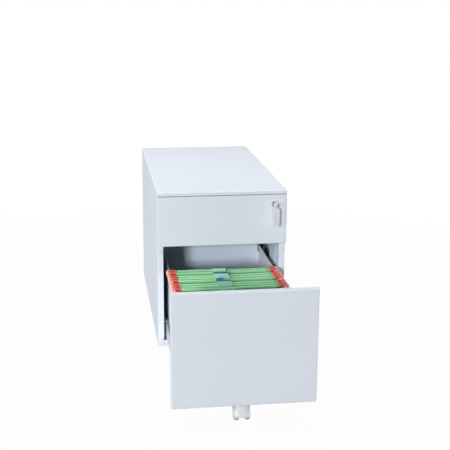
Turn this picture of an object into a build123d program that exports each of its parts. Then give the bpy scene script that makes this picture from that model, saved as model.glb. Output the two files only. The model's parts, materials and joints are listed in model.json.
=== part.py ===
from build123d import *
from math import cos, radians, sin
import os

# Mobile steel pedestal with a shallow lockable drawer over a deep file drawer.
# Millimetres, +Z up, floor at zero, fronts facing -Y, file drawer stored pulled out.

os.makedirs("parts", exist_ok=True)

# Overall size
width = 400
depth = 790
height = 565
castor_height = 66
rest_opening = 450

# Sheet metal
carcass_sheet = 1.2
drawer_sheet = 1.0
fold_radius = 2

# Top and drawer fronts
top_lip = 11
top_edge_radius = 2.5
front_gap = 2
front_thickness = 18
front_edge_radius = 2.5
upper_front_height = 156
buffer_thickness = 2
buffer_radius = 5
buffer_play = 0.2
buffer_inset = 19

# Front posts and the uprights that carry the runners
post_width = 19
post_return = 50
side_flange = 20
front_upright_gap = 12
front_upright_width = 92
rear_upright_inset = 70
rear_upright_width = 40

# Base
base_flange_height = 19
notch_depth = 100
notch_play = 4

# Telescopic runners
runner_thickness = 16.5
runner_height = 45
runner_back_gap = 68
runner_sheet = 1.2
runner_play = 0.4
runner_web_gap = 1.5
runner_inset = 12
runner_ball_gap = 5
runner_screw_head = 1

# Drawer boxes
drawer_back_gap = 60
wall_hem = 10
hem_radius = 0.8
wall_flange = 12
corner_relief_width = 4
corner_relief_height = 26
back_rise = 3
file_floor_clearance = 6
file_wall_height = 244
file_runner_rise = 49.5
upper_floor_rise = 11.5
upper_wall_height = 95
upper_runner_rise = 60

# Lock and folding key
lock_from_right = 40
lock_from_top = 41
lock_barrel_radius = 8.5
lock_rosette_radius = 11
lock_rosette_thickness = 3
lock_rosette_edge = 1
lock_nut_radius = 13
lock_nut_thickness = 4
lock_tail = 2
plug_radius = 6
plug_proud = 1
running_play = 0.05
fit_play = 0.1
cam_radius = 12
cam_thickness = 2.5
cam_end_play = 0.3
cam_pin_radius = 2
cam_pin_throw = 8.5
cam_pin_length = 11
cam_rest_angle = -45
key_thickness = 2
key_blade_width = 8
key_blade_inside = 12
key_eye_radius = 5
key_hinge_reach = 26
key_pin_radius = 1.5
key_cheek_thickness = 2.5
key_cheek_play = 0.3
bow_width = 23
bow_thickness = 6
bow_top_drop = 10
bow_length = 56
bow_corner_radius = 5
bow_slot_width = 2.4
bow_slot_length = 24

# Central locking bar
bar_thickness = 2
bar_width = 10
bar_from_opening = 3
bar_setback = 32
bar_lift = 12
bar_play = 0.3
bar_tail = 34
fork_finger = 2.5
fork_reach = 24
tab_reach = 12
stud_radius = 3
stud_end_gap = 4.2
stud_setback = 48
tab_stud_gap = 1
file_stud_above_runner = 22
upper_stud_below_runner = 14
window_play = 2
guide_height = 14
guide_wall = 4
guide_from_tab = 70

# Twin-wheel castors
wheel_radius = 21
wheel_width = 15
wheel_chamfer = 3
web_width = 14
wheel_play = 0.6
hood_play = 1.2
hood_wall = 2
hood_tilt = 26
hood_edge_radius = 4
hub_radius = 7
axle_radius = 3
castor_trail = 15
swivel_radius = 10
swivel_pin_radius = 4
swivel_pin_length = 15
swivel_play = 0.3
mount_plate = 2
mount_size = 46
screw_spacing = 32
screw_radius = 2
screw_head_radius = 4
screw_head_height = 2
hole_cut = 10
castor_inset = 70
front_castor_setback = 190
rear_castor_inset = 90
drawer_castor_setback = 42
bracket_width = 80

# Hanging files
folder_count = 16
folder_pitch = 22
bunch_size = 3
bunch_gap = 12
first_bunch_short = 1
folder_height = 228
folder_above_wall = 3
folder_top_thickness = 3
folder_swell = 12
folder_swell_drop = 190
folder_foot = 6
last_folder_y = 2
hook_length = 31
hook_overhang = 10.5
hook_thickness = 4
hook_height = 14
hook_above_wall = 4
hook_play = 0.3
hook_notch_play = 1.5
label_width = 44
label_height = 8
label_thickness = 1
label_x = -14

# Values worked out from the sizes above
half_width = width / 2
closed_front_y = -(depth - rest_opening) / 2
top_underside = height - top_lip
opening_half = half_width - post_width
drawer_half = opening_half - runner_thickness
post_setback = front_thickness + buffer_thickness
base_top = castor_height + carcass_sheet
upper_front_top = top_underside - front_gap
upper_front_bottom = upper_front_top - upper_front_height
file_front_top = upper_front_bottom - front_gap
file_front_bottom = castor_height + front_gap
file_floor_z = castor_height + file_floor_clearance
file_wall_top = file_floor_z + file_wall_height
file_runner_z = file_floor_z + file_runner_rise
upper_floor_z = upper_front_bottom + upper_floor_rise
upper_wall_top = upper_floor_z + upper_wall_height
upper_runner_z = upper_floor_z + upper_runner_rise
runner_setback = post_setback + runner_inset
runner_length = depth - runner_setback - runner_back_gap
drawer_length = depth - drawer_back_gap
lock_x = half_width - lock_from_right
lock_z = height - lock_from_top
lift_rest_z = lock_z + cam_pin_throw * sin(radians(cam_rest_angle))
file_stud_z = file_runner_z + runner_height / 2 + file_stud_above_runner
upper_stud_z = upper_runner_z - runner_height / 2 - upper_stud_below_runner
bar_x = opening_half + bar_from_opening
stud_length = runner_thickness - stud_end_gap
castor_x = half_width - castor_inset
hook_end = drawer_half + hook_overhang
folder_half_width = hook_end - hook_length
sides = ((-1, "left"), (1, "right"))


def behind(distance):
    """The y of a place this far behind the closed fronts' outer face."""
    return closed_front_y + distance


def across(y):
    """An upright plane across the cabinet at y, whose extrusions run to the front."""
    return Plane.XZ.offset(-y)


def slab(x_range, y_range, z_range, mode=Mode.ADD):
    """A square-edged plate between the given limits, each in either order."""
    spans = [sorted(limits) for limits in (x_range, y_range, z_range)]
    with Locations(Pos(*[sum(limits) / 2 for limits in spans])):
        Box(*[high - low for low, high in spans], mode=mode)


def channel(web_x, lip_x, middle_z, half_height):
    """A runner section: an upright web at web_x with flanges that reach to lip_x."""
    inner_x = web_x + runner_sheet * (1 if lip_x > web_x else -1)
    with Locations(((web_x + lip_x) / 2, middle_z)):
        Rectangle(abs(lip_x - web_x), 2 * half_height)
    with Locations(((inner_x + lip_x) / 2, middle_z)):
        Rectangle(abs(lip_x - inner_x), 2 * (half_height - runner_sheet), mode=Mode.SUBTRACT)


def save(piece, name):
    """Labels a finished piece and writes its own file."""
    piece.part.label = name
    export_step(piece.part, f"parts/{name}.step")


# Top panel, a shallow tray turned upside down
with BuildPart() as top_panel:
    with BuildSketch(Plane.XY.offset(top_underside)):
        with Locations((0, behind(depth / 2))):
            RectangleRounded(width, depth, top_edge_radius)
    extrude(amount=top_lip)
    fillet(top_panel.faces().sort_by(Axis.Z)[-1].edges(), top_edge_radius)
    with BuildSketch(Plane.XY.offset(top_underside)):
        with Locations((0, behind(depth / 2))):
            Rectangle(width - 2 * carcass_sheet, depth - 2 * carcass_sheet)
    extrude(amount=top_lip - carcass_sheet, mode=Mode.SUBTRACT)
save(top_panel, "top_panel")

# Side panels, each one sheet: wall, front post, return flange and a flange under the top
fork_y = (behind(bar_setback), behind(bar_setback + bar_width))
tab_y = (behind(bar_setback + bar_width - bar_thickness), behind(bar_setback + bar_width))
fork_half = cam_pin_radius + bar_play + fork_finger
stud_tab_tops = (file_stud_z - stud_radius - tab_stud_gap, upper_stud_z - stud_radius - tab_stud_gap)
for side, side_name in sides:
    with BuildPart() as side_panel:
        with BuildSketch(Plane.XY.offset(castor_height)):
            with Locations((side * (half_width - carcass_sheet / 2), behind((post_setback + depth) / 2))):
                Rectangle(carcass_sheet, depth - post_setback)
            with Locations((side * (half_width - post_width / 2), behind(post_setback + carcass_sheet / 2))):
                Rectangle(post_width, carcass_sheet)
            return_x = side * (opening_half + carcass_sheet / 2)
            with Locations((return_x, behind(post_setback + post_return / 2))):
                Rectangle(carcass_sheet, post_return)
        extrude(amount=top_underside - castor_height)
        fillet(side_panel.edges().filter_by(Axis.Z).group_by(Axis.Y)[0], fold_radius)
        slab(
            (side * (half_width - carcass_sheet), side * (half_width - side_flange)),
            (behind(post_setback + carcass_sheet), behind(depth - carcass_sheet)),
            (top_underside - carcass_sheet, top_underside),
        )
        flange_x = (side * opening_half, side * (opening_half + carcass_sheet))
        slab(
            flange_x,
            (behind(post_setback + carcass_sheet), behind(post_setback + post_return)),
            (castor_height, castor_height + base_flange_height),
            mode=Mode.SUBTRACT,
        )
        if side > 0:
            # Windows that let the lock bar's fork and tabs through the return flange
            slab(
                flange_x,
                (fork_y[0] - window_play, fork_y[1] + window_play),
                (lift_rest_z - fork_half - window_play, lift_rest_z + fork_half + bar_lift + window_play),
                mode=Mode.SUBTRACT,
            )
            for tab_top in stud_tab_tops:
                slab(
                    flange_x,
                    (tab_y[0] - window_play, tab_y[1] + window_play),
                    (tab_top - bar_lift - window_play, tab_top + bar_lift + window_play),
                    mode=Mode.SUBTRACT,
                )
    save(side_panel, f"{side_name}_side_panel")

# Back panel, between the side panels
with BuildPart() as back_panel:
    slab(
        (carcass_sheet - half_width, half_width - carcass_sheet),
        (behind(depth - carcass_sheet), behind(depth)),
        (castor_height, top_underside),
    )
save(back_panel, "back_panel")

# Base, open at the front between two corner flanges so that the drawer's castor can pass
castor_places = [
    (side * castor_x, behind(setback))
    for setback in (front_castor_setback, depth - rear_castor_inset)
    for side, _ in sides
]
notch_half = drawer_half + notch_play
base_front = behind(post_setback + carcass_sheet)
with BuildPart() as base_pan:
    slab(
        (carcass_sheet - half_width, half_width - carcass_sheet),
        (base_front, behind(depth - carcass_sheet)),
        (castor_height, base_top),
    )
    slab(
        (-notch_half, notch_half),
        (base_front, base_front + notch_depth),
        (castor_height, base_top),
        mode=Mode.SUBTRACT,
    )
    for side, _ in sides:
        slab(
            (side * notch_half, side * (half_width - carcass_sheet)),
            (base_front, base_front + carcass_sheet),
            (base_top, castor_height + base_flange_height),
        )
    for place in castor_places:
        with Locations(Pos(*place, castor_height)):
            with GridLocations(screw_spacing, screw_spacing, 2, 2):
                Cylinder(screw_radius + fit_play, hole_cut, mode=Mode.SUBTRACT)
save(base_pan, "base_pan")

# Runner uprights, folded channels against the side panels
front_upright_start = post_setback + post_return + front_upright_gap
rear_upright_start = depth - rear_upright_inset - rear_upright_width
for place, start, upright_width in (
    ("front", front_upright_start, front_upright_width),
    ("rear", rear_upright_start, rear_upright_width),
):
    for side, side_name in sides:
        with BuildPart() as upright:
            with BuildSketch(Plane.XY.offset(base_top)):
                with Locations((side * (opening_half + half_width - carcass_sheet) / 2, behind(start))):
                    Rectangle(post_width - carcass_sheet, upright_width, align=(Align.CENTER, Align.MIN))
                inner_x = side * (opening_half + half_width) / 2
                with Locations((inner_x, behind(start + carcass_sheet))):
                    Rectangle(
                        post_width - 2 * carcass_sheet,
                        upright_width - 2 * carcass_sheet,
                        align=(Align.CENTER, Align.MIN),
                        mode=Mode.SUBTRACT,
                    )
            extrude(amount=top_underside - carcass_sheet - base_top)
        save(upright, f"{side_name}_{place}_upright")

# Telescopic runners: a nested outer, middle and inner member on each side of a drawer
outer_half = runner_height / 2
middle_half = outer_half - runner_sheet - runner_play
inner_half = middle_half - runner_sheet - runner_play
middle_web_x = opening_half - runner_sheet - runner_ball_gap
runner_end = behind(runner_setback + runner_length)
for drawer, runner_z, opening in (("upper", upper_runner_z, 0), ("file", file_runner_z, rest_opening)):
    with BuildPart() as outer_runners:
        with BuildSketch(across(runner_end)):
            for side, _ in sides:
                channel(side * opening_half, side * (drawer_half + runner_web_gap), runner_z, outer_half)
        extrude(amount=runner_length)
    save(outer_runners, f"{drawer}_outer_runners")

    with BuildPart() as middle_runners:
        with BuildSketch(across(runner_end - opening / 2)):
            for side, _ in sides:
                middle_lip_x = drawer_half + runner_sheet + runner_web_gap
                channel(side * middle_web_x, side * middle_lip_x, runner_z, middle_half)
        extrude(amount=runner_length)
    save(middle_runners, f"{drawer}_middle_runners")

    with BuildPart() as inner_runners:
        with BuildSketch(across(runner_end - opening)):
            for side, _ in sides:
                inner_lip_x = middle_web_x - runner_sheet - runner_web_gap
                channel(side * drawer_half, side * inner_lip_x, runner_z, inner_half)
        extrude(amount=runner_length)
    save(inner_runners, f"{drawer}_inner_runners")

# Drawer boxes: bottom, two hemmed side walls and a back
for drawer, floor_z, wall_top, opening in (
    ("upper", upper_floor_z, upper_wall_top, 0),
    ("file", file_floor_z, file_wall_top, rest_opening),
):
    box_front = behind(front_thickness - opening)
    box_back = behind(drawer_length - opening)
    inside_half = drawer_half - drawer_sheet
    floor_top = floor_z + 2 * drawer_sheet
    with BuildPart() as drawer_bottom:
        slab((-inside_half, inside_half), (box_front, box_back), (floor_z + drawer_sheet, floor_top))
    save(drawer_bottom, f"{drawer}_drawer_bottom")

    for side, side_name in sides:
        with BuildPart() as drawer_side:
            wall_y = (box_front, box_back)
            slab((side * inside_half, side * drawer_half), wall_y, (floor_z, wall_top))
            hem_x = (side * (inside_half - drawer_sheet), side * inside_half)
            slab(hem_x, wall_y, (wall_top - wall_hem, wall_top))
            fillet(drawer_side.edges().filter_by(Axis.Y).group_by(Axis.Z)[-1], hem_radius)
            flange_x = (side * (inside_half - wall_flange), side * inside_half)
            slab(flange_x, wall_y, (floor_z, floor_z + drawer_sheet))
        save(drawer_side, f"{drawer}_drawer_{side_name}_side")

    with BuildPart() as drawer_back:
        back_half = inside_half - drawer_sheet
        back_y = (box_back - drawer_sheet, box_back)
        slab((-inside_half, inside_half), back_y, (floor_top, wall_top - wall_hem))
        slab((-back_half, back_half), back_y, (wall_top - wall_hem, wall_top + back_rise))
        for side, _ in sides:
            slab(
                (side * (inside_half - corner_relief_width), side * inside_half),
                back_y,
                (wall_top - corner_relief_height, wall_top + back_rise),
                mode=Mode.SUBTRACT,
            )
    save(drawer_back, f"{drawer}_drawer_back")

# Drawer fronts: a folded outer pan and the liner that closes it
for drawer, bottom_z, top_z, opening in (
    ("upper", upper_front_bottom, upper_front_top, 0),
    ("file", file_front_bottom, file_front_top, rest_opening),
):
    front_y = behind(-opening)
    liner_size = (width - 2 * drawer_sheet, top_z - bottom_z - 2 * drawer_sheet)
    middle = (0, (bottom_z + top_z) / 2)
    with BuildPart() as front_panel:
        with BuildSketch(across(front_y + front_thickness)):
            with Locations(middle):
                Rectangle(width, top_z - bottom_z)
        extrude(amount=front_thickness)
        fillet(front_panel.faces().sort_by(Axis.Y)[0].edges(), front_edge_radius)
        with BuildSketch(across(front_y + front_thickness)):
            with Locations(middle):
                Rectangle(*liner_size)
        extrude(amount=front_thickness - drawer_sheet, mode=Mode.SUBTRACT)
        if drawer == "upper":
            with BuildSketch(across(front_y + front_thickness)):
                with Locations((lock_x, lock_z)):
                    Circle(lock_barrel_radius + fit_play)
            extrude(amount=front_thickness, mode=Mode.SUBTRACT)
    save(front_panel, f"{drawer}_front_panel")

    with BuildPart() as front_liner:
        with BuildSketch(across(front_y + front_thickness)):
            with Locations(middle):
                Rectangle(*liner_size)
            if drawer == "upper":
                with Locations((lock_x, lock_z)):
                    Circle(lock_barrel_radius + fit_play, mode=Mode.SUBTRACT)
        extrude(amount=drawer_sheet)
    save(front_liner, f"{drawer}_front_liner")

# Lock: body with rosette, back nut, turning plug and cam
barrel_end = front_thickness + lock_nut_thickness + lock_tail
with BuildPart() as lock_body:
    with BuildSketch(across(behind(barrel_end))):
        with Locations((lock_x, lock_z)):
            Circle(lock_barrel_radius)
    extrude(amount=barrel_end)
    with BuildSketch(across(behind(0))):
        with Locations((lock_x, lock_z)):
            Circle(lock_rosette_radius)
    extrude(amount=lock_rosette_thickness)
    fillet(lock_body.faces().sort_by(Axis.Y)[0].edges(), lock_rosette_edge)
    with BuildSketch(across(behind(barrel_end))):
        with Locations((lock_x, lock_z)):
            Circle(plug_radius + running_play)
    extrude(amount=barrel_end + lock_rosette_thickness, mode=Mode.SUBTRACT)
save(lock_body, "lock_body")

with BuildPart() as lock_nut:
    with BuildSketch(across(behind(front_thickness + lock_nut_thickness))):
        with Locations((lock_x, lock_z)):
            RegularPolygon(lock_nut_radius, 6)
            Circle(lock_barrel_radius + fit_play, mode=Mode.SUBTRACT)
    extrude(amount=lock_nut_thickness)
save(lock_nut, "lock_nut")

plug_face = -lock_rosette_thickness - plug_proud
plug_end = barrel_end + cam_end_play
with BuildPart() as lock_plug:
    with BuildSketch(across(behind(plug_end))):
        with Locations((lock_x, lock_z)):
            Circle(plug_radius)
    extrude(amount=plug_end - plug_face)
    slab(
        (lock_x - key_thickness / 2 - fit_play, lock_x + key_thickness / 2 + fit_play),
        (behind(plug_face), behind(key_blade_inside + fit_play)),
        (lock_z - key_blade_width / 2 - fit_play, lock_z + key_blade_width / 2 + fit_play),
        mode=Mode.SUBTRACT,
    )
save(lock_plug, "lock_plug")

cam_end = plug_end + cam_thickness
pin_x = lock_x + cam_pin_throw * cos(radians(cam_rest_angle))
with BuildPart() as lock_cam:
    with BuildSketch(across(behind(cam_end))):
        with Locations((lock_x, lock_z)):
            Circle(cam_radius)
    extrude(amount=cam_thickness)
    with BuildSketch(across(behind(cam_end + cam_pin_length))):
        with Locations((pin_x, lift_rest_z)):
            Circle(cam_pin_radius)
    extrude(amount=cam_pin_length)
save(lock_cam, "lock_cam")

# Folding key: a metal blade with a hinge eye, and a plastic bow that hangs from it
hinge_y = behind(-key_hinge_reach)
with BuildPart() as key_blade:
    with BuildSketch(Plane.YZ.offset(lock_x - key_thickness / 2)):
        with Locations((behind((key_blade_inside - key_hinge_reach) / 2), lock_z)):
            Rectangle(key_blade_inside + key_hinge_reach, key_blade_width)
        with Locations((hinge_y, lock_z)):
            Circle(key_eye_radius)
            Circle(key_pin_radius + running_play, mode=Mode.SUBTRACT)
    extrude(amount=key_thickness)
save(key_blade, "key_blade")

cheek_inside = key_thickness / 2 + key_cheek_play
cheek_outside = cheek_inside + key_cheek_thickness
bow_top = lock_z - bow_top_drop
with BuildPart() as key_bow:
    with BuildSketch(across(hinge_y + bow_thickness / 2)):
        with Locations((lock_x, bow_top - bow_length / 2)):
            RectangleRounded(bow_width, bow_length, bow_corner_radius)
            Rectangle(bow_slot_width, bow_slot_length, mode=Mode.SUBTRACT)
    extrude(amount=bow_thickness)
    for side, _ in sides:
        with BuildSketch(Plane.YZ.offset(lock_x + min(side * cheek_inside, side * cheek_outside))):
            with Locations((hinge_y, lock_z)):
                Circle(key_eye_radius)
            with Locations((hinge_y, lock_z - bow_top_drop / 2)):
                Rectangle(bow_thickness, bow_top_drop)
        extrude(amount=key_cheek_thickness)
    with BuildSketch(Plane.YZ.offset(lock_x - cheek_outside)):
        with Locations((hinge_y, lock_z)):
            Circle(key_pin_radius)
    extrude(amount=2 * cheek_outside)
save(key_bow, "key_bow")

# Central lock bar with a fork for the cam pin and a tab for each drawer's catch stud
fork_inside = cam_pin_radius + bar_play
with BuildPart() as lock_bar:
    bar_bottom = min(stud_tab_tops) - bar_lift - bar_tail
    slab((bar_x, bar_x + bar_thickness), fork_y, (bar_bottom, lift_rest_z + fork_half))
    slab((bar_x - fork_reach, bar_x), fork_y, (lift_rest_z + fork_inside, lift_rest_z + fork_half))
    slab((bar_x - fork_reach, bar_x), fork_y, (lift_rest_z - fork_half, lift_rest_z - fork_inside))
    for tab_top in stud_tab_tops:
        slab((bar_x + bar_thickness - tab_reach, bar_x), tab_y, (tab_top - bar_lift, tab_top))
save(lock_bar, "lock_bar")

with BuildPart() as lock_bar_guides:
    for guide_z in (min(stud_tab_tops) + guide_from_tab, max(stud_tab_tops) - guide_from_tab):
        guide_span = (guide_z - guide_height / 2, guide_z + guide_height / 2)
        guide_y = (fork_y[0] - bar_play - guide_wall, fork_y[1] + bar_play + guide_wall)
        slot_y = (fork_y[0] - bar_play, fork_y[1] + bar_play)
        slab((bar_x, half_width - carcass_sheet), guide_y, guide_span)
        slab((bar_x, bar_x + bar_thickness + bar_play), slot_y, guide_span, mode=Mode.SUBTRACT)
save(lock_bar_guides, "lock_bar_guides")

for drawer, stud_z, opening in (("upper", upper_stud_z, 0), ("file", file_stud_z, rest_opening)):
    with BuildPart() as lock_stud:
        with BuildSketch(Plane.YZ.offset(drawer_half)):
            with Locations((behind(stud_setback - opening), stud_z)):
                Circle(stud_radius)
        extrude(amount=stud_length)
    save(lock_stud, f"{drawer}_lock_stud")

# Soft buffers on the posts, where the closed fronts come to rest
with BuildPart() as front_buffers:
    buffer_x = (opening_half + half_width) / 2
    for buffer_z in (
        upper_front_top - buffer_inset,
        upper_front_bottom + buffer_inset,
        file_front_top - buffer_inset,
        file_front_bottom + buffer_inset,
    ):
        with BuildSketch(across(behind(post_setback))):
            with Locations((-buffer_x, buffer_z), (buffer_x, buffer_z)):
                Circle(buffer_radius)
        extrude(amount=buffer_thickness - buffer_play)
save(front_buffers, "front_buffers")

# Castor mounts: a plate with its swivel pin
plate_bottom = castor_height - mount_plate
with BuildPart() as castor_mounts:
    for place in castor_places:
        with Locations(Pos(*place, plate_bottom)):
            Box(mount_size, mount_size, mount_plate, align=(Align.CENTER, Align.CENTER, Align.MIN))
            Cylinder(swivel_pin_radius, swivel_pin_length, align=(Align.CENTER, Align.CENTER, Align.MAX))
            with GridLocations(screw_spacing, screw_spacing, 2, 2):
                Cylinder(screw_radius + fit_play, hole_cut, mode=Mode.SUBTRACT)
save(castor_mounts, "castor_mounts")

with BuildPart() as castor_screws:
    for place in castor_places:
        with Locations(Pos(*place, plate_bottom)):
            with GridLocations(screw_spacing, screw_spacing, 2, 2):
                Cylinder(screw_head_radius, screw_head_height, align=(Align.CENTER, Align.CENTER, Align.MAX))
                Cylinder(
                    screw_radius,
                    mount_plate + carcass_sheet,
                    align=(Align.CENTER, Align.CENTER, Align.MIN),
                )
save(castor_screws, "castor_screws")

# Bracket and mount of the castor under the file drawer
drawer_castor = (0, behind(drawer_castor_setback - rest_opening))
with BuildPart() as drawer_castor_bracket:
    bracket_y = (drawer_castor[1] - mount_size / 2, drawer_castor[1] + mount_size / 2)
    floor_under = file_floor_z + drawer_sheet
    slab((-bracket_width / 2, bracket_width / 2), bracket_y, (castor_height, floor_under))
    inner_half_width = bracket_width / 2 - mount_plate
    slab(
        (-inner_half_width, inner_half_width),
        bracket_y,
        (castor_height + mount_plate, floor_under),
        mode=Mode.SUBTRACT,
    )
save(drawer_castor_bracket, "drawer_castor_bracket")

with BuildPart() as drawer_castor_mount:
    with Locations(Pos(*drawer_castor, plate_bottom)):
        Box(mount_size, mount_size, mount_plate, align=(Align.CENTER, Align.CENTER, Align.MIN))
        Cylinder(swivel_pin_radius, swivel_pin_length, align=(Align.CENTER, Align.CENTER, Align.MAX))
save(drawer_castor_mount, "drawer_castor_mount")

# Castors: a swivelling hood over two wheels on one axle, trailing to the back
well_radius = wheel_radius + hood_play
hood_radius = well_radius + hood_wall
wheel_inside = web_width / 2 + wheel_play
hood_half_width = wheel_inside + wheel_width + wheel_play
castor_names = ("front_left_castor", "front_right_castor", "rear_left_castor", "rear_right_castor")
for castor, (swivel_x, swivel_y) in zip((*castor_names, "drawer_castor"), (*castor_places, drawer_castor)):
    axle_y = swivel_y + castor_trail
    hood_top = plate_bottom - swivel_play
    with BuildPart() as castor_hood:
        with BuildSketch(Plane.YZ.offset(swivel_x - hood_half_width)):
            with Locations((axle_y, wheel_radius)):
                Circle(hood_radius)
                Rectangle(
                    2 * hood_radius,
                    hood_radius,
                    rotation=hood_tilt,
                    align=(Align.CENTER, Align.MAX),
                    mode=Mode.SUBTRACT,
                )
        extrude(amount=2 * hood_half_width)
        fillet(castor_hood.edges().filter_by(GeomType.CIRCLE), hood_edge_radius)
        with BuildSketch(Plane.XY.offset(hood_top)):
            with Locations((swivel_x, swivel_y)):
                Circle(swivel_radius)
        extrude(amount=wheel_radius - hood_top)
        with BuildSketch(
            Plane.YZ.offset(swivel_x + web_width / 2),
            Plane.YZ.offset(swivel_x - hood_half_width),
        ):
            with Locations((axle_y, wheel_radius)):
                Circle(well_radius)
        extrude(amount=hood_half_width - web_width / 2, mode=Mode.SUBTRACT)
        with BuildSketch(Plane.YZ.offset(swivel_x - web_width / 2)):
            with Locations((axle_y, wheel_radius)):
                Circle(hub_radius)
        extrude(amount=web_width)
        with BuildSketch(Plane.YZ.offset(swivel_x - web_width / 2)):
            with Locations((axle_y, wheel_radius)):
                Circle(axle_radius + running_play)
        extrude(amount=web_width, mode=Mode.SUBTRACT)
        with BuildSketch(Plane.XY.offset(hood_top)):
            with Locations((swivel_x, swivel_y)):
                Circle(swivel_pin_radius + running_play)
        extrude(amount=-swivel_pin_length, mode=Mode.SUBTRACT)
    save(castor_hood, f"{castor}_hood")

    with BuildPart() as castor_wheels:
        with BuildSketch(
            Plane.YZ.offset(swivel_x + wheel_inside),
            Plane.YZ.offset(swivel_x - wheel_inside - wheel_width),
        ):
            with Locations((axle_y, wheel_radius)):
                Circle(wheel_radius)
        extrude(amount=wheel_width)
        chamfer(castor_wheels.edges().filter_by(GeomType.CIRCLE), wheel_chamfer)
        with BuildSketch(Plane.YZ.offset(swivel_x - wheel_inside)):
            with Locations((axle_y, wheel_radius)):
                Circle(axle_radius)
        extrude(amount=2 * wheel_inside)
    save(castor_wheels, f"{castor}_wheels")

# Screws that hold the outer runners to the uprights
with BuildPart() as runner_screws:
    for screw_setback in (
        front_upright_start + front_upright_width / 2,
        rear_upright_start + rear_upright_width / 2,
    ):
        for runner_z in (upper_runner_z, file_runner_z):
            for side, _ in sides:
                head_base = opening_half - runner_sheet
                head_x = min(side * head_base, side * (head_base - runner_screw_head))
                with BuildSketch(Plane.YZ.offset(head_x)):
                    with Locations((behind(screw_setback), runner_z)):
                        Circle(screw_head_radius)
                extrude(amount=runner_screw_head)
save(runner_screws, "runner_screws")

# Hanging files in bunches: swelling folders, hook ends over the drawer's walls, and label tabs
folder_ys = [
    behind(last_folder_y - folder_pitch * index - bunch_gap * ((index + first_bunch_short) // bunch_size))
    for index in range(folder_count)
]
hook_top = file_wall_top + hook_above_wall
hook_bottom = hook_top - hook_height
folder_top = file_wall_top + folder_above_wall
with BuildPart() as file_folders:
    with BuildSketch(Plane.YZ.offset(-folder_half_width)):
        for folder_y in folder_ys:
            with BuildLine():
                Polyline(
                    (folder_y - folder_top_thickness / 2, folder_top),
                    (folder_y - folder_swell / 2, folder_top - folder_swell_drop),
                    (folder_y - folder_foot / 2, folder_top - folder_height),
                    (folder_y + folder_foot / 2, folder_top - folder_height),
                    (folder_y + folder_swell / 2, folder_top - folder_swell_drop),
                    (folder_y + folder_top_thickness / 2, folder_top),
                    close=True,
                )
            make_face()
    extrude(amount=2 * folder_half_width)
save(file_folders, "file_folders")

notch_inside = drawer_half - 2 * drawer_sheet - hook_notch_play
notch_outside = drawer_half + hook_notch_play
with BuildPart() as file_hooks:
    for folder_y in folder_ys:
        hook_y = (folder_y - hook_thickness / 2, folder_y + hook_thickness / 2)
        for side, _ in sides:
            hook_x = (side * folder_half_width, side * hook_end)
            slab(hook_x, hook_y, (hook_bottom, hook_top))
            slab(
                (side * notch_inside, side * notch_outside),
                hook_y,
                (hook_bottom, file_wall_top + hook_play),
                mode=Mode.SUBTRACT,
            )
save(file_hooks, "file_hooks")

# Every folder but the rear one carries a label tab
with BuildPart() as file_labels:
    for folder_y in folder_ys[1:]:
        slab(
            (label_x - label_width / 2, label_x + label_width / 2),
            (folder_y - label_thickness / 2, folder_y + label_thickness / 2),
            (folder_top, folder_top + label_height),
        )
save(file_labels, "file_labels")
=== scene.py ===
import bpy
import json
import numpy as np
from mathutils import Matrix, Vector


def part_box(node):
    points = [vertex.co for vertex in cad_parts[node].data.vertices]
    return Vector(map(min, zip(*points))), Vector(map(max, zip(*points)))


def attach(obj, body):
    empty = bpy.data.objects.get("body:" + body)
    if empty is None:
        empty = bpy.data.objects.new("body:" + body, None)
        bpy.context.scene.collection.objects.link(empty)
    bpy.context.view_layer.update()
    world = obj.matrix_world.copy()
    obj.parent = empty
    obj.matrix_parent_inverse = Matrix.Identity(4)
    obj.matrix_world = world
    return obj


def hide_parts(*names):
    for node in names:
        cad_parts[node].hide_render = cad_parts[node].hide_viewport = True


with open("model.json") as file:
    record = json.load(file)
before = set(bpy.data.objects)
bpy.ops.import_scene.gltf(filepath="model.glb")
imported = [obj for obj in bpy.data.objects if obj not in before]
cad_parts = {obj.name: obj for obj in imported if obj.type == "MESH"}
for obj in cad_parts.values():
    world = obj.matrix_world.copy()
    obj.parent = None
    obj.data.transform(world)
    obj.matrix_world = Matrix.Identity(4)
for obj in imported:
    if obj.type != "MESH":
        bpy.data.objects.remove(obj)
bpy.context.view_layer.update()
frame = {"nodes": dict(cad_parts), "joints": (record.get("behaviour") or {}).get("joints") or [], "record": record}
rng = np.random.default_rng(7)

# Sizes of the hanging files, in metres: their reach from the frame, and the spacing that their solids have
(_, _, folder_bottom), (folder_half_width, _, folder_top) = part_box("file_folders")
folder_count = 16
folder_pitch = 0.022
bunch_size = 3
bunch_gap = 0.012
first_bunch_short = 1
last_folder_y = -0.168
folder_index = np.arange(folder_count)
bunch_index = (folder_index + first_bunch_short) // bunch_size
folder_y = last_folder_y - folder_pitch * folder_index - bunch_gap * bunch_index


# Finishes

# The span that most of a noise lies in
noise_low = 0.3
noise_high = 0.7


def new_finish(name, roughness, metallic=0.0):
    """A material whose one surface shader takes the given constants, with its nodes and links to add to."""
    material = bpy.data.materials.new(name)
    material.use_nodes = True
    nodes, links = material.node_tree.nodes, material.node_tree.links
    shader = nodes["Principled BSDF"]
    shader.inputs["Roughness"].default_value = roughness
    shader.inputs["Metallic"].default_value = metallic
    return material, nodes, links, shader


def noise_over(nodes, links, scale, detail=2.0, stretch=(1, 1, 1)):
    """Noise over the piece's own metres: the coordinates times stretch, in cells of about 1 / scale."""
    place = nodes.new("ShaderNodeTexCoord")
    mapping = nodes.new("ShaderNodeMapping")
    mapping.inputs["Scale"].default_value = stretch
    cloud = nodes.new("ShaderNodeTexNoise")
    cloud.inputs["Scale"].default_value = scale
    cloud.inputs["Detail"].default_value = detail
    links.new(place.outputs["Object"], mapping.inputs["Vector"])
    links.new(mapping.outputs["Vector"], cloud.inputs["Vector"])
    return cloud.outputs["Fac"]


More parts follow.
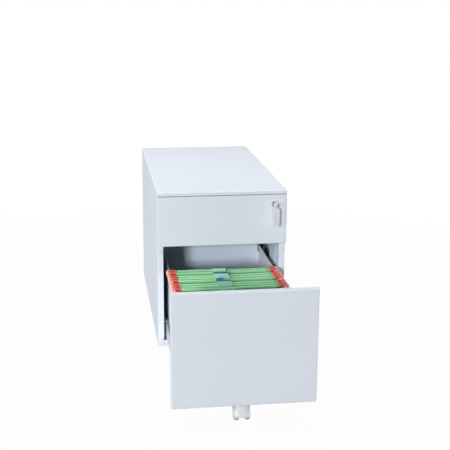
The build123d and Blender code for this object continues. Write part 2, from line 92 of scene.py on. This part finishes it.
def own_axis(nodes, links, axis):
    """The piece's own coordinate along one axis, in metres."""
    place = nodes.new("ShaderNodeTexCoord")
    axes = nodes.new("ShaderNodeSeparateXYZ")
    links.new(place.outputs["Object"], axes.inputs["Vector"])
    return axes.outputs[axis]


def shade_stops(nodes, links, factor, stops, target):
    """Colour that follows the factor through stops of (place, colour), in rising order."""
    ramp = nodes.new("ShaderNodeValToRGB")
    elements = ramp.color_ramp.elements
    for place, _ in stops[1:-1]:
        elements.new(place)
    for element, (place, colour) in zip(elements, stops):
        element.position = place
        element.color = (*colour, 1)
    links.new(factor, ramp.inputs["Fac"])
    links.new(ramp.outputs["Color"], target)


def tint(nodes, links, factor, low, high, target):
    """Colour that goes from low to high over the usual span of a noise."""
    shade_stops(nodes, links, factor, [(noise_low, low), (noise_high, high)], target)


def spread(nodes, links, factor, low, high, target):
    """A number that goes from low to high over the usual span of a noise."""
    span = nodes.new("ShaderNodeMapRange")
    span.inputs["From Min"].default_value = noise_low
    span.inputs["From Max"].default_value = noise_high
    span.inputs["To Min"].default_value = low
    span.inputs["To Max"].default_value = high
    links.new(factor, span.inputs["Value"])
    links.new(span.outputs["Result"], target)


def grain(nodes, links, factor, shader, strength, distance):
    """Fine relief from a noise, as a bump on the shader's normal."""
    bump = nodes.new("ShaderNodeBump")
    bump.inputs["Strength"].default_value = strength
    bump.inputs["Distance"].default_value = distance
    links.new(factor, bump.inputs["Height"])
    links.new(bump.outputs["Normal"], shader.inputs["Normal"])


def powder_coat(name, low, high):
    """Pale satin powder coat: orange-peel relief, with slow drifts of tone and gloss."""
    material, nodes, links, shader = new_finish(name, roughness=0.5)
    shader.inputs["Specular IOR Level"].default_value = 0.06
    drift = noise_over(nodes, links, scale=2.4)
    gloss = noise_over(nodes, links, scale=16)
    orange_peel = noise_over(nodes, links, scale=900, detail=1)
    tint(nodes, links, drift, low, high, shader.inputs["Base Color"])
    spread(nodes, links, gloss, 0.46, 0.54, shader.inputs["Roughness"])
    grain(nodes, links, orange_peel, shader, strength=0.18, distance=0.00012)
    return material


def zinc_steel():
    """Bright zinc plate on rolled sheet: streaks along the rolling direction, front to back."""
    material, nodes, links, shader = new_finish("zinc_plate", roughness=0.5, metallic=1.0)
    streak = noise_over(nodes, links, scale=60, detail=3, stretch=(4, 0.08, 4))
    gloss = noise_over(nodes, links, scale=25)
    tint(nodes, links, streak, (0.46, 0.47, 0.49), (0.58, 0.59, 0.60), shader.inputs["Base Color"])
    spread(nodes, links, gloss, 0.44, 0.56, shader.inputs["Roughness"])
    grain(nodes, links, streak, shader, strength=0.10, distance=0.0002)
    return material


def chrome_plate():
    """Polished chrome with a faint cloud in its tone and gloss."""
    material, nodes, links, shader = new_finish("chrome_plate", roughness=0.08, metallic=1.0)
    cloud = noise_over(nodes, links, scale=300)
    tint(nodes, links, cloud, (0.56, 0.57, 0.59), (0.68, 0.68, 0.70), shader.inputs["Base Color"])
    spread(nodes, links, cloud, 0.06, 0.12, shader.inputs["Roughness"])
    return material


def moulded_plastic(name, low, high, roughness, relief=0.06, transmission=0.0):
    """Moulded plastic: a cloudy tone between two near colours and a fine spark-eroded grain."""
    material, nodes, links, shader = new_finish(name, roughness)
    shader.inputs["Transmission Weight"].default_value = transmission
    cloud = noise_over(nodes, links, scale=45)
    sparks = noise_over(nodes, links, scale=1600, detail=1)
    tint(nodes, links, cloud, low, high, shader.inputs["Base Color"])
    grain(nodes, links, sparks, shader, strength=relief, distance=0.0001)
    return material


def folder_card():
    """Dyed green card, paler along the folded rim at its top edge: a painted highlight where the rim catches the
    light. The colour follows the height, which a noise along the card's long fibres raises by up to the mottle."""
    mottle = 0.003
    material, nodes, links, shader = new_finish("green_folder_card", roughness=0.78)
    fibre = noise_over(nodes, links, scale=260, detail=4, stretch=(0.25, 1, 1))
    mottled = nodes.new("ShaderNodeMath")
    mottled.operation = "MULTIPLY_ADD"
    mottled.inputs[1].default_value = mottle
    links.new(fibre, mottled.inputs[0])
    links.new(own_axis(nodes, links, "Z"), mottled.inputs[2])
    # Painted highlight: the green turns paler over the top few millimetres, along the rim that catches the light.
    stops = [(folder_top - 0.0035, (0.216, 0.524, 0.272)), (folder_top - 0.0010, (0.346, 0.710, 0.400))]
    shade_stops(nodes, links, mottled.outputs["Value"], stops, shader.inputs["Base Color"])
    grain(nodes, links, fibre, shader, strength=0.15, distance=0.0002)
    return material


def paper_stack():
    """The cut edges of loose sheets: thin dark and light lines, sheet beside sheet."""
    material, nodes, links, shader = new_finish("paper_sheets", roughness=0.85)
    sheet = noise_over(nodes, links, scale=900, stretch=(0.01, 1, 0.01))
    tint(nodes, links, sheet, (0.62, 0.61, 0.57), (0.84, 0.83, 0.80), shader.inputs["Base Color"])
    grain(nodes, links, sheet, shader, strength=0.3, distance=0.0003)
    return material


def label_plastic(name, foot, tip):
    """Label holder coloured by height: foot and tip are each a height over the folder's top edge and the colour
    there. Where that colour is darker than the holder's own pale cyan, it is painted shade.
    """
    material, nodes, links, shader = new_finish(name, roughness=0.3)
    stops = [(folder_top + height, colour) for height, colour in (foot, tip)]
    frosting = noise_over(nodes, links, scale=1200, detail=1)
    shade_stops(nodes, links, own_axis(nodes, links, "Z"), stops, shader.inputs["Base Color"])
    grain(nodes, links, frosting, shader, strength=0.05, distance=0.0001)
    return material


def hook_plastic():
    """Hook plastic, by its reach beyond the folder's end: cream where it holds the card, red along its arm, and
    paler at the end beyond the wall, a painted highlight for the gloss that the end catches."""
    material, nodes, links, shader = new_finish("red_hook_plastic", roughness=0.26)
    reach = nodes.new("ShaderNodeMath")
    reach.operation = "ABSOLUTE"
    links.new(own_axis(nodes, links, "X"), reach.inputs[0])
    bands = [
        (0.0015, (0.70, 0.56, 0.34)),
        (0.0040, (0.80, 0.12, 0.08)),
        (0.0230, (0.86, 0.14, 0.10)),
        # Painted highlight: the pale pink at the outer end stands for the gloss it catches.
        (0.0295, (0.92, 0.60, 0.56)),
    ]
    stops = [(folder_half_width + beyond, colour) for beyond, colour in bands]
    sparks = noise_over(nodes, links, scale=1600, detail=1)
    shade_stops(nodes, links, reach.outputs["Value"], stops, shader.inputs["Base Color"])
    grain(nodes, links, sparks, shader, strength=0.06, distance=0.0001)
    return material


finishes = {
    "powder_coat": powder_coat("pale_powder_coat", (0.700, 0.752, 0.822), (0.728, 0.778, 0.846)),
    "zinc_steel": zinc_steel(),
    "chrome_plate": chrome_plate(),
    "key_plastic": moulded_plastic(
        "key_bow_plastic", (0.80, 0.80, 0.88), (0.86, 0.86, 0.92),
        roughness=0.3, relief=0.03, transmission=0.2,
    ),
    "castor_plastic": moulded_plastic(
        "castor_hood_nylon", (0.71, 0.74, 0.79), (0.77, 0.80, 0.85), roughness=0.42
    ),
    "wheel_plastic": moulded_plastic(
        "castor_wheel_nylon", (0.47, 0.48, 0.49), (0.55, 0.56, 0.57), roughness=0.50
    ),
    "folder_card": folder_card(),
    "hook_plastic": hook_plastic(),
    # Pale label holders: their own pale cyan at the tip, with painted shade making the foot darker and greener.
    "label_plastic": label_plastic(
        "pale_label_holder", foot=(0.0048, (0.36, 0.72, 0.46)), tip=(0.0066, (0.58, 0.89, 0.90))
    ),
    "buffer_rubber": moulded_plastic(
        "pale_buffer_rubber", (0.64, 0.69, 0.75), (0.70, 0.74, 0.80), roughness=0.7
    ),
}
# Painted bluish shade: a darker, bluer copy of the pale powder coat, which stands in for the blue cast of the
# light deep inside the cabinet.
inner_shade_coat = powder_coat("powder_coat_painted_inner_shade", (0.635, 0.718, 0.850), (0.665, 0.745, 0.880))
# Painted gap shadow: copies of the label holder that turn dark blue above the foot, where the dark gap behind the
# tab shows through it.
gap_shadow_flat_finish = label_plastic(
    "flat_holder_painted_gap_shadow", foot=(0.0022, (0.36, 0.68, 0.66)), tip=(0.0042, (0.03, 0.13, 0.24))
)
raised_label = label_plastic(
    "raised_holder_painted_gap_shadow", foot=(0.0022, (0.40, 0.72, 0.74)), tip=(0.0042, (0.05, 0.19, 0.36))
)
for part in frame["record"]["subparts"]:
    solid = frame["nodes"][part["node"]]
    # The drawer backs and uprights inside take the copy with painted bluish shade; every other part takes its
    # slot's finish.
    inside = "drawer_back" in part["node"] or "upright" in part["node"]
    solid.data.materials.clear()
    solid.data.materials.append(inner_shade_coat if inside else finishes[part["material_slot"]])


# Surfaces


def make_piece(name, points, faces, finish, body, replaces=(), smooth=False):
    """One mesh object at the origin from points and lists of corners, riding on a body."""
    mesh = bpy.data.meshes.new(name)
    mesh.from_pydata(np.asarray(points).reshape(-1, 3).tolist(), [], faces)
    mesh.polygons.foreach_set("use_smooth", np.full(len(mesh.polygons), smooth))
    mesh.materials.append(finish)
    mesh.update()
    piece = bpy.data.objects.new(name, mesh)
    bpy.context.scene.collection.objects.link(piece)
    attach(piece, body)
    if replaces:
        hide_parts(*replaces)
    return piece


def grid_quads(rows, columns, close_rows=False, close_columns=False):
    """Quads of a grid of points, row by row, each joining a point to its next in row and column."""
    row = np.arange(rows if close_rows else rows - 1)[:, None]
    column = np.arange(columns if close_columns else columns - 1)[None, :]
    next_row, next_column = (row + 1) % rows, (column + 1) % columns
    corners = [
        row * columns + column,
        row * columns + next_column,
        next_row * columns + next_column,
        next_row * columns + column,
    ]
    return np.stack(corners, -1).reshape(-1, 4).tolist()


def capped_tube(rows, columns):
    """Faces of a grid whose rows are closed loops: quads between the loops, and a cap at each end."""
    corners = np.arange(rows * columns).reshape(rows, columns)
    caps = [corners[0, ::-1].tolist(), corners[-1].tolist()]
    return grid_quads(rows, columns, close_columns=True) + caps


def shifted(faces, count):
    """The same faces for points that come count places later."""
    return [np.add(face, count).tolist() for face in faces]


def copied(faces, copies, count):
    """One shape's faces for each of its copies, whose points follow each other with count points a copy."""
    return [face for copy in range(copies) for face in shifted(faces, copy * count)]


def soft_corners(corners, radius, count=4):
    """A closed loop through the corners, each cut back by the radius, or by most_share of its shorter edge
    where that is less, and rounded by a quadratic curve."""
    most_share = 0.45
    corners = np.asarray(corners, float)
    back, fore = np.roll(corners, 1, 0) - corners, np.roll(corners, -1, 0) - corners
    back_length = np.linalg.norm(back, axis=1, keepdims=True)
    fore_length = np.linalg.norm(fore, axis=1, keepdims=True)
    reach = np.minimum(radius, most_share * np.minimum(back_length, fore_length))
    start = (corners + back / back_length * reach)[:, None]
    end = (corners + fore / fore_length * reach)[:, None]
    t = np.linspace(0, 1, count)[None, :, None]
    curve = (1 - t) ** 2 * start + 2 * t * (1 - t) * corners[:, None] + t ** 2 * end
    return curve.reshape(-1, 2)


def thick_outline(outline, half_thickness, edge_inset, edge_drop):
    """A flat outline made solid with bevelled edges: the closed loop of points is repeated at four depths,
    moved inwards along its own normals at the outer two, and the first and last loops are filled."""
    tangent = np.roll(outline, -1, 0) - np.roll(outline, 1, 0)
    inward = np.stack([-tangent[:, 1], tangent[:, 0]], -1)
    inward /= np.linalg.norm(inward, axis=1, keepdims=True)
    inset = np.array([edge_inset, 0, 0, edge_inset])[:, None, None]
    inner_depth = half_thickness - edge_drop
    depth = np.array([-half_thickness, -inner_depth, inner_depth, half_thickness])[:, None, None]
    flat = outline + inset * inward
    loops = np.concatenate([flat, np.broadcast_to(depth, (*flat.shape[:2], 1))], -1)
    return loops.reshape(-1, 3), capped_tube(len(depth), len(outline))


def repeat_mirrored(points, faces, places):
    """Copies of one shape, for places given as (side, y): the shape's x is multiplied by the side, and its
    depth is added to y. Standing the outline upright mirrors it once, so its faces are turned round wherever
    the side doesn't mirror it back."""
    side, y = np.array(places, float).T[:, :, None]
    copies = np.stack([side * points[:, 0], y + points[:, 2], 0 * side + points[:, 1]], -1)
    turned_round = [face[::-1] for face in faces]
    corners = []
    for index, (mirror, _) in enumerate(places):
        corners += shifted(faces if mirror < 0 else turned_round, index * len(points))
    return copies, corners


def turned(profile, centre, count=48):
    """A profile of (x, radius) turned about an axle along x through the centre. A profile that starts and
    ends at radius zero closes to a point at both ends, and any other is a loop that closes as a ring."""
    profile = np.asarray(profile, float)
    pointed = profile[0, 1] == 0
    rows = profile[1:-1] if pointed else profile
    angle = np.linspace(0, 2 * np.pi, count, endpoint=False)[None, :]
    x, radius = rows[:, :1], rows[:, 1:]
    rings = np.broadcast_arrays(x, radius * np.cos(angle), radius * np.sin(angle))
    points = np.stack(rings, -1).reshape(-1, 3)
    faces = [face[::-1] for face in grid_quads(len(rows), count, not pointed, True)]
    if pointed:
        first_tip, last_tip = len(points), len(points) + 1
        first_row = np.arange(count)
        last_row = (len(rows) - 1) * count + first_row
        faces += np.stack([0 * first_row + first_tip, first_row, np.roll(first_row, -1)], -1).tolist()
        faces += np.stack([0 * last_row + last_tip, np.roll(last_row, -1), last_row], -1).tolist()
        tips = np.zeros((2, 3))
        tips[:, 0] = profile[[0, -1], 0]
        points = np.concatenate([points, tips])
    return points + np.asarray(centre), faces


# Hanging files


def swell(rise):
    """Half the thickness of a filled folder at a share of its height: a slim wall with a bell-shaped belly
    low down, times a quarter circle that rounds the foot."""
    foot_share = 0.035
    belly_share = 0.17
    belly_spread = 0.17
    slim = 0.0012
    belly = 0.0046
    foot = np.sqrt(1 - (1 - np.clip(rise / foot_share, 0, 1)) ** 2)
    return foot * (slim + belly * np.exp(-(((rise - belly_share) / belly_spread) ** 2)))


def folder_pockets():
    """Card pockets. Each is a U carried along the width: its height goes from the bottom fold to the top
    edge, and its half thickness is swell() with a folded rim near the top. It leans and waves with the square
    of the height, and its top edge sags with the fourth power."""
    most_lean = 0.0012
    wave_height = 0.0007
    wave_turn = 2.2
    sag_height = 0.0006
    sag_turn = 3.1
    most_phase = 6.28
    rim_fold = 0.0006
    rim_start = 0.955
    rim_ease = 0.01
    top_drop = 0.001
    card_thickness = 0.0006
    foot_crowding = 1.5
    along = np.linspace(-1, 1, 33)
    around = np.linspace(-1, 1, 61)
    rise = np.abs(around)[None, :, None] ** foot_crowding
    side = np.sign(around)[None, :, None]
    phase = rng.uniform(0, most_phase, (folder_count, 1, 1))
    lean = rng.uniform(-most_lean, most_lean, (folder_count, 1, 1))
    wave = wave_height * np.sin(wave_turn * along + phase) + lean
    sag = sag_height * np.cos(sag_turn * along + 2 * phase)
    rim = rim_fold * np.clip((rise - rim_start) / rim_ease, 0, 1)
    y = folder_y[:, None, None] + side * (swell(rise) + rim) + rise ** 2 * wave
    z = folder_bottom + (folder_top - folder_bottom - top_drop) * rise + rise ** 4 * sag
    points = np.stack(np.broadcast_arrays(folder_half_width * along, y, z), -1)
    faces = copied(grid_quads(len(around), len(along)), folder_count, len(around) * len(along))
    piece = make_piece(
        "folder_pockets", points, faces, finishes["folder_card"], "hanging_files",
        ["file_folders"], smooth=True,
    )
    card = piece.modifiers.new("card", "SOLIDIFY")
    card.thickness = card_thickness
    card.offset = 0


def folder_papers():
    """A stack of loose sheets in each pocket: a loop up the front, over the top and down the back, just
    inside the pocket's swell, carried along a slightly shorter width and closed at both ends."""
    lowest_rise = 0.03
    card_room = 0.0009
    least_half = 0.0003
    end_gap = 0.006
    climb = np.linspace(0, 1, 24)
    up_and_down = np.concatenate([climb, climb[::-1]])[None, :, None]
    side = np.repeat([-1, 1], len(climb))[None, :, None]
    top_rise = rng.uniform(0.86, 0.95, (folder_count, 1, 1))
    fullness = rng.uniform(0.6, 0.95, (folder_count, 1, 1))
    rise = lowest_rise + (top_rise - lowest_rise) * up_and_down
    half = np.clip(swell(rise) - card_room, least_half, None) * fullness
    along = np.linspace(-1, 1, 9) * (folder_half_width - end_gap)
    y = folder_y[:, None, None] + side * half
    z = folder_bottom + (folder_top - folder_bottom) * rise
    points = np.stack(np.broadcast_arrays(along, y, z), -1)
    loop, stations = points.shape[1:3]
    corners = np.arange(loop * stations).reshape(loop, stations)
    ends = [corners[:, 0].tolist(), corners[::-1, -1].tolist()]
    faces = copied(grid_quads(loop, stations, close_rows=True) + ends, folder_count, loop * stations)
    make_piece("folder_papers", points, faces, paper_stack(), "hanging_files")


def hook_ends():
    """Red hook ends: an outline with a notch over the drawer's wall, in millimetres from the folder's top
    corner, thick with bevelled edges, on both sides of each folder."""
    millimetres = [
        (0, -8.5), (5, -8.5), (8, -4.7), (16.9, -4.7), (17.1, -2.5), (21.9, -2.5), (22.1, -11.5),
        (30.2, -11.5), (30.8, -2.5), (28.5, 2), (8, 2), (3, 0.5), (0, 0.5),
    ]
    folder_corner = np.array([folder_half_width, folder_top])
    outline = soft_corners(folder_corner + np.array(millimetres) / 1000, radius=0.0022)
    points, faces = thick_outline(outline, half_thickness=0.002, edge_inset=0.0007, edge_drop=0.0006)
    points, faces = repeat_mirrored(points, faces, [(side, y) for y in folder_y for side in (-1, 1)])
    make_piece(
        "hook_ends", points, faces, finishes["hook_plastic"], "hanging_files",
        ["file_hooks"],
    )


def label_tabs(name, places, millimetres, finish, replaces=()):
    """Label holders on the folders at the places given: an outline, in millimetres from the middle of the
    folder's top edge, thick with bevelled edges."""
    outline = soft_corners(np.array(millimetres) / 1000 + [0, folder_top], radius=0.002)
    points, faces = thick_outline(outline, half_thickness=0.0005, edge_inset=0.0004, edge_drop=0.0002)
    points, faces = repeat_mirrored(points, faces, [(1, y) for y in places])
    make_piece(name, points, faces, finish, "hanging_files", replaces)


flat_tab = [(-36, -0.5), (8, -0.5), (8, 8), (-36, 8)]
raised_tab = [(-37, -0.5), (6, -0.5), (5, 7), (-14, 8.5), (-19, 13.5), (-37, 13.5)]
# Folders counted from the rear: the one without a label, and two that stand just in front of a wide gap between
# bunches, whose label holders carry a painted gap shadow: one with a flat label and one with a raised one
bare_folder = 0
gap_shadow_flat_folder = 2
raised_folder = 5
pale_folders = np.delete(folder_y, [bare_folder, gap_shadow_flat_folder, raised_folder])
folder_pockets()
folder_papers()
hook_ends()
label_tabs(
    "label_tabs", pale_folders, flat_tab, finishes["label_plastic"], ["file_labels"]
)
# The two tabs with a painted gap shadow in their colour
label_tabs("flat_tab_painted_gap_shadow", folder_y[[gap_shadow_flat_folder]], flat_tab, gap_shadow_flat_finish)
label_tabs("raised_label_tab", folder_y[[raised_folder]], raised_tab, raised_label)


# Castors


def castor_wheels(castor, axle):
    """Twin wheels on one axle: a turned pair of discs, each with a hub, a dished face and a rim, and a tread
    round each rim, whose height over the rim is half an ellipse across its width."""
    tread_x = 0.0151
    tread_half_width = 0.0075
    rim_radius = 0.0152
    tread_height = 0.0058
    millimetres = [
        (22.0, 0), (22.0, 4.6), (21.4, 5.4), (20.0, 6.0), (19.2, 7.2), (19.2, 13.6), (19.8, 14.6),
        (21.4, 15.0), (22.0, 15.4), (21.6, 16.2), (8.6, 16.2), (8.0, 15.4), (7.8, 6.0), (7.6, 3.0),
    ]
    disc = np.array(millimetres) / 1000
    points, faces = turned(np.concatenate([disc, (disc * [-1, 1])[::-1]]), axle)
    make_piece(
        f"{castor}_wheel_discs", points, faces, finishes["castor_plastic"], f"{castor}_wheels",
        [f"{castor}_wheels"],
    )
    across = np.sin(np.linspace(-np.pi / 2, np.pi / 2, 17))
    crown = rim_radius + tread_height * (1 - across ** 2) ** 0.5
    arch = np.stack([tread_x + tread_half_width * across, crown], -1)
    left_points, ring_faces = turned(arch * [-1, 1], axle)
    right_points, _ = turned(arch[::-1], axle)
    make_piece(
        f"{castor}_treads", np.stack([left_points, right_points]), copied(ring_faces, 2, len(left_points)),
        finishes["wheel_plastic"], f"{castor}_wheels", smooth=True,
    )


def castor_hood(castor, axle):
    """A castor's hood, in polar form about its axle: for each angle from below the front over the top to the
    back, a closed section of an outer face across the width, wheel wells behind it and the web down to the
    axle. The outer radius is a smooth maximum of the round hood, with rounded side edges, and a broad neck
    that rises at the front."""
    hood_half_width = 0.0232
    hood_radius = 0.0242
    edge_radius = 0.004
    edge_turn = np.radians(60)
    neck_half_width = 0.0180
    neck_half_depth = 0.0098
    neck_forward = 0.015
    neck_height = 0.0427
    neck_fade = 0.002
    least_slope = 0.05
    blend_power = 14
    well_half_width = 0.015
    well_radius = 0.0222
    web_half_width = 0.007
    axle_radius = 0.0032
    angle = np.radians(np.linspace(-10, 154, 83))[:, None]
    forward, up = np.cos(angle), np.sin(angle)

    flat_half = hood_half_width - edge_radius
    face_half = flat_half + edge_radius * np.sin(edge_turn)
    across = face_half * np.sin(np.linspace(-np.pi / 2, np.pi / 2, 41))[None, :]
    edge = np.clip(np.abs(across) - flat_half, 0, None) / edge_radius
    round_hood = hood_radius - edge_radius + edge_radius * (1 - edge ** 2) ** 0.5

    broad = np.clip(1 - np.abs(across / neck_half_width) ** 3, 0, 1) ** (1 / 3)
    front, back = neck_forward + neck_half_depth * broad, neck_forward - neck_half_depth * broad
    neck_top = neck_height / np.maximum(up, least_slope)
    neck = np.minimum(front / np.maximum(forward, least_slope), neck_top) * (broad > 0)
    neck = neck * np.clip((neck * forward - back) / neck_fade + 1, 0, 1)
    outer = (round_hood ** blend_power + neck ** blend_power) ** (1 / blend_power)

    well_x = np.array([well_half_width, web_half_width, web_half_width])
    well = np.array([well_radius, well_radius, axle_radius])
    inner_x = np.concatenate([well_x, [0], -well_x[::-1]])[None, :]
    inner = np.concatenate([well, [axle_radius], well[::-1]])[None, :]
    radius = np.concatenate([outer, inner + 0 * angle], 1)
    x = axle[0] + np.concatenate([across, inner_x], 1)
    sections = np.broadcast_arrays(x, axle[1] - radius * forward, axle[2] + radius * up)
    make_piece(
        f"{castor}_cover", np.stack(sections, -1), capped_tube(*radius.shape), finishes["castor_plastic"],
        f"{castor}_swivel", [f"{castor}_hood"],
    )


for joint in frame["joints"]:
    if joint["name"].endswith("_castor_roll"):
        castor = joint["name"].removesuffix("_roll")
        castor_wheels(castor, joint["pos_m"])
        castor_hood(castor, joint["pos_m"])


# Floor, light and camera


def seen_rays(nodes, links):
    """One for camera, glossy and transmission rays, which look at the background, and zero for the rest."""
    path = nodes.new("ShaderNodeLightPath")
    seen = path.outputs["Is Camera Ray"]
    for kind in ("Is Glossy Ray", "Is Transmission Ray"):
        either = nodes.new("ShaderNodeMath")
        either.operation = "MAXIMUM"
        links.new(seen, either.inputs[0])
        links.new(path.outputs[kind], either.inputs[1])
        seen = either.outputs["Value"]
    return seen


def studio_floor():
    """A wide pale floor. Rays that look at it see it mostly as plain white, with a faint shadow near the
    cabinet: the white's share goes from least_white at shadow_reach from the middle to all at clear_reach."""
    reach = 30
    shadow_reach = 0.6
    clear_reach = 2.2
    least_white = 0.97
    corners = [(-reach, -reach, 0), (reach, -reach, 0), (reach, reach, 0), (-reach, reach, 0)]
    mesh = bpy.data.meshes.new("studio_floor")
    mesh.from_pydata(corners, [], [(0, 1, 2, 3)])
    floor = bpy.data.objects.new("studio_floor", mesh)
    bpy.context.scene.collection.objects.link(floor)
    material, nodes, links, shader = new_finish("pale_floor", roughness=0.9)
    shader.inputs["Base Color"].default_value = (0.48, 0.48, 0.48, 1)
    shader.inputs["Specular IOR Level"].default_value = 0.0
    place = nodes.new("ShaderNodeTexCoord")
    away = nodes.new("ShaderNodeVectorMath")
    away.operation = "LENGTH"
    links.new(place.outputs["Object"], away.inputs[0])
    clear = nodes.new("ShaderNodeMapRange")
    clear.inputs["From Min"].default_value = shadow_reach
    clear.inputs["From Max"].default_value = clear_reach
    clear.inputs["To Min"].default_value = least_white
    links.new(away.outputs["Value"], clear.inputs["Value"])
    seen = nodes.new("ShaderNodeMath")
    seen.operation = "MULTIPLY"
    links.new(seen_rays(nodes, links), seen.inputs[0])
    links.new(clear.outputs["Result"], seen.inputs[1])
    white = nodes.new("ShaderNodeEmission")
    share = nodes.new("ShaderNodeMixShader")
    links.new(seen.outputs["Value"], share.inputs["Fac"])
    links.new(shader.outputs["BSDF"], share.inputs[1])
    links.new(white.outputs["Emission"], share.inputs[2])
    links.new(share.outputs["Shader"], nodes["Material Output"].inputs["Surface"])
    mesh.materials.append(material)


def studio_world():
    """White where it is looked at. It lights nothing else."""
    world = bpy.data.worlds.new("studio_world")
    world.use_nodes = True
    nodes, links = world.node_tree.nodes, world.node_tree.links
    shade = nodes["Background"]
    shade.inputs["Color"].default_value = (1, 1, 1, 1)
    links.new(seen_rays(nodes, links), shade.inputs["Strength"])
    bpy.context.scene.world = world


def softbox(name, place, aim, size, power):
    """A square area lamp at a place, turned to its aim."""
    lamp = bpy.data.lights.new(name, "AREA")
    lamp.size = size
    lamp.energy = power
    holder = bpy.data.objects.new(name, lamp)
    holder.visible_camera = False
    holder.location = place
    direction = Vector(aim) - Vector(place)
    holder.rotation_euler = direction.to_track_quat("-Z", "Y").to_euler()
    bpy.context.scene.collection.objects.link(holder)


studio_floor()
studio_world()
softbox("front_key", place=(-11.25, -27.21, 7.07), aim=(0, -0.2, 0.3), size=4.2, power=5690)
softbox("left_fill", place=(-2.97, -2.0, 1.08), aim=(0, -0.1, 0.3), size=1.0, power=41)
softbox("side_fill", place=(-2.2, 2.4, 0.9), aim=(-0.2, 0.2, 0.3), size=0.9, power=15)
softbox("top_fill", place=(-0.2, 0.0, 2.8), aim=(0, 0.0, 0.3), size=1.2, power=48.5)
softbox("right_fill", place=(3.2, 0.4, 0.3), aim=(0, 0.1, 0.3), size=0.5, power=50)
softbox("back_fill", place=(0.9, 4.2, 0.3), aim=(0, 0.6, 0.3), size=0.5, power=80)

camera = bpy.data.objects.new("photo_camera", bpy.data.cameras.new("photo_camera"))
camera.data.sensor_width = 36
camera.data.lens = 77.18
camera.location = (-0.39793, -3.00655, 1.20175)
camera.rotation_euler = (1.31749, -0.00609, -0.14034)
bpy.context.scene.collection.objects.link(camera)
bpy.context.scene.camera = camera
bpy.context.scene.view_settings.view_transform = "Standard"
